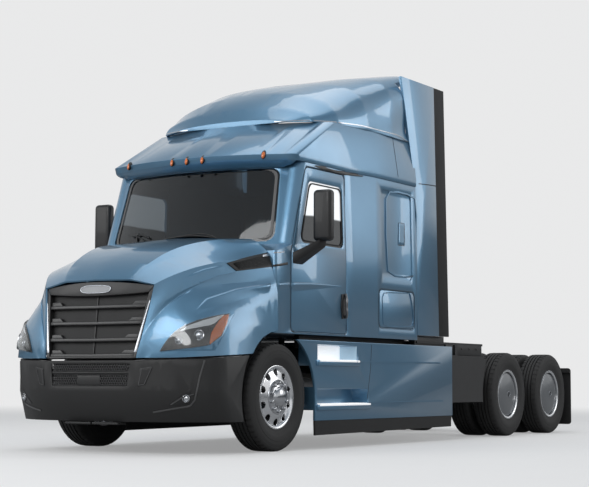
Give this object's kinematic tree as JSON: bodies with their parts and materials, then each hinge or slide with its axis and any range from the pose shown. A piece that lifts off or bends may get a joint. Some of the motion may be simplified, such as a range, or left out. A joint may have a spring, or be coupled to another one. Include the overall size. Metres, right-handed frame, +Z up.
{
  "type": "semi truck tractor unit",
  "caption": "Highway tractor with a tilting hood, raised-roof sleeper cab, side fairings and a short rear frame over tandem drive axles.",
  "frame": {"origin": "on the ground under the centre of the vehicle's outline", "axes": "-Y out of the nose, +X towards the vehicle's left side, +Z up"},
  "size_m": [2.88, 8.658, 4.0695],
  "materials": {
    "paint": "metallic blue-grey",
    "frame_paint": "satin",
    "dark_plastic": "grained",
    "black_plastic": "satin",
    "tyre_rubber": "matte",
    "trim_rubber": "matte",
    "polished_alloy": "polished",
    "cover_grey": "satin",
    "forged": "matte",
    "screen_glass": "tinted",
    "lamp_glass": "clear",
    "tank_alloy": "brushed",
    "deck_black": "satin",
    "seat_fabric": "woven",
    "dash_plastic": "grained"
  },
  "bodies": {
    "vehicle": {"front_axle": "forged", "front_springs": "forged", "drive_axles": "forged", "rear_suspension": "forged", "drive_shaft": "forged", "engine_block": "forged", "cab_shell": "paint", "roof_cap": "paint", "sun_visor": "paint", "roof_fairing": "paint", "side_extenders": "paint", "skirt_left": "paint", "skirt_right": "paint", "chassis_frame": "frame_paint", "cab_mounts": "frame_paint", "quarter_panels": "deck_black", "radiator": "black_plastic", "windscreen": "screen_glass", "extender_trims": "trim_rubber", "skirt_rubber": "trim_rubber", "fuel_tanks": "tank_alloy", "deck_plate": "deck_black", "mud_flaps": "trim_rubber", "bumper": "dark_plastic", "seats": "seat_fabric", "bunk": "seat_fabric", "dashboard": "dash_plastic"},
    "hood": {"hood": "paint", "grille": "black_plastic", "headlamps": "lamp_glass"},
    "door_left": {"door_left": "paint", "door_glass_left": "screen_glass", "mirror_left": "dark_plastic"},
    "door_right": {"door_right": "paint", "door_glass_right": "screen_glass", "mirror_right": "dark_plastic"},
    "baggage_door_left": {"baggage_door_left": "paint"},
    "baggage_door_right": {"baggage_door_right": "paint"},
    "knuckle_left": {"knuckle_left": "forged"},
    "knuckle_right": {"knuckle_right": "forged"},
    "tie_rod": {"tie_rod": "forged"},
    "wheel_front_left": {"tyre_front_left": "tyre_rubber", "wheel_front_left": "polished_alloy"},
    "wheel_front_right": {"tyre_front_right": "tyre_rubber", "wheel_front_right": "polished_alloy"},
    "wheel_middle_left": {"tyre_middle_left": "tyre_rubber", "wheel_middle_left": "cover_grey"},
    "wheel_middle_right": {"tyre_middle_right": "tyre_rubber", "wheel_middle_right": "cover_grey"},
    "wheel_rear_left": {"tyre_rear_left": "tyre_rubber", "wheel_rear_left": "cover_grey"},
    "wheel_rear_right": {"tyre_rear_right": "tyre_rubber", "wheel_rear_right": "cover_grey"}
  },
  "joints": [
    {"name": "hood_tilt", "type": "hinge", "parent": "vehicle", "child": "hood", "pos_m": [0, -4.227, 1], "axis": [1, 0, 0], "range_deg": [0, 75]},
    {"name": "door_left_open", "type": "hinge", "parent": "vehicle", "child": "door_left", "pos_m": [1.14, -2.734, 1.9], "axis": [0, 0, -1], "range_deg": [0, 70]},
    {"name": "door_right_open", "type": "hinge", "parent": "vehicle", "child": "door_right", "pos_m": [-1.14, -2.734, 1.9], "axis": [0, 0, 1], "range_deg": [0, 70]},
    {"name": "baggage_door_left_open", "type": "hinge", "parent": "vehicle", "child": "baggage_door_left", "pos_m": [1.168, -0.994, 1.4175], "axis": [0, 0, -1], "range_deg": [0, 90]},
    {"name": "baggage_door_right_open", "type": "hinge", "parent": "vehicle", "child": "baggage_door_right", "pos_m": [-1.168, -0.994, 1.4175], "axis": [0, 0, 1], "range_deg": [0, 90]},
    {"name": "steer_left", "type": "hinge", "parent": "vehicle", "child": "knuckle_left", "pos_m": [0.885, -2.949, 0.505], "axis": [0, 0, 1], "range_deg": [-40, 40]},
    {"name": "steer_right", "type": "hinge", "parent": "vehicle", "child": "knuckle_right", "pos_m": [-0.885, -2.949, 0.505], "axis": [0, 0, 1], "range_deg": [-40, 40]},
    {"name": "tie_rod_pivot", "type": "hinge", "parent": "knuckle_left", "child": "tie_rod", "pos_m": [0.885, -2.759, 0.3935], "axis": [0, 0, 1], "range_deg": [-40, 40]},
    {"name": "front_left_spin", "type": "hinge", "parent": "knuckle_left", "child": "wheel_front_left", "pos_m": [1.02, -2.949, 0.505], "axis": [1, 0, 0], "continuous": true},
    {"name": "front_right_spin", "type": "hinge", "parent": "knuckle_right", "child": "wheel_front_right", "pos_m": [-1.02, -2.949, 0.505], "axis": [1, 0, 0], "continuous": true},
    {"name": "middle_left_spin", "type": "hinge", "parent": "vehicle", "child": "wheel_middle_left", "pos_m": [0.88, 2.319, 0.505], "axis": [1, 0, 0], "continuous": true},
    {"name": "middle_right_spin", "type": "hinge", "parent": "vehicle", "child": "wheel_middle_right", "pos_m": [-0.88, 2.319, 0.505], "axis": [1, 0, 0], "continuous": true},
    {"name": "rear_left_spin", "type": "hinge", "parent": "vehicle", "child": "wheel_rear_left", "pos_m": [0.88, 3.639, 0.505], "axis": [1, 0, 0], "continuous": true},
    {"name": "rear_right_spin", "type": "hinge", "parent": "vehicle", "child": "wheel_rear_right", "pos_m": [-0.88, 3.639, 0.505], "axis": [1, 0, 0], "continuous": true}
  ],
  "couplings": [
    {"joint": "steer_right", "follows": "steer_left", "ratio": 1},
    {"joint": "tie_rod_pivot", "follows": "steer_left", "ratio": -1}
  ]
}
